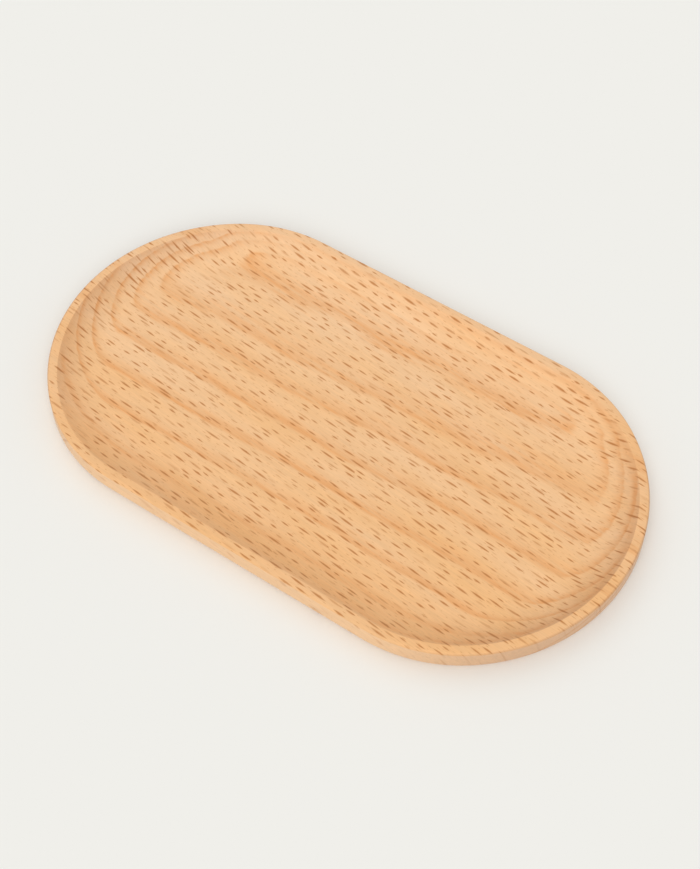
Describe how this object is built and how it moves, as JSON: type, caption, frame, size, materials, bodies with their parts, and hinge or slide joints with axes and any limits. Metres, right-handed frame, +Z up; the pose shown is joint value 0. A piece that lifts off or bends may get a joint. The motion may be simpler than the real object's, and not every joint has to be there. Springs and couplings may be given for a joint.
{
  "type": "coin tray",
  "caption": "Shallow oval wooden tray with a flat narrow rim and a wide cove down to a flat floor, for coins, keys and other small things.",
  "frame": {"origin": "middle of the flat underside, which rests on the table", "axes": "+X along the length of the tray, +Y across it, +Z up out of the open well"},
  "size_m": [0.18, 0.103, 0.0072],
  "materials": {
    "beech": "satin"
  },
  "bodies": {
    "root": {"tray_body": "beech"}
  },
  "joints": []
}
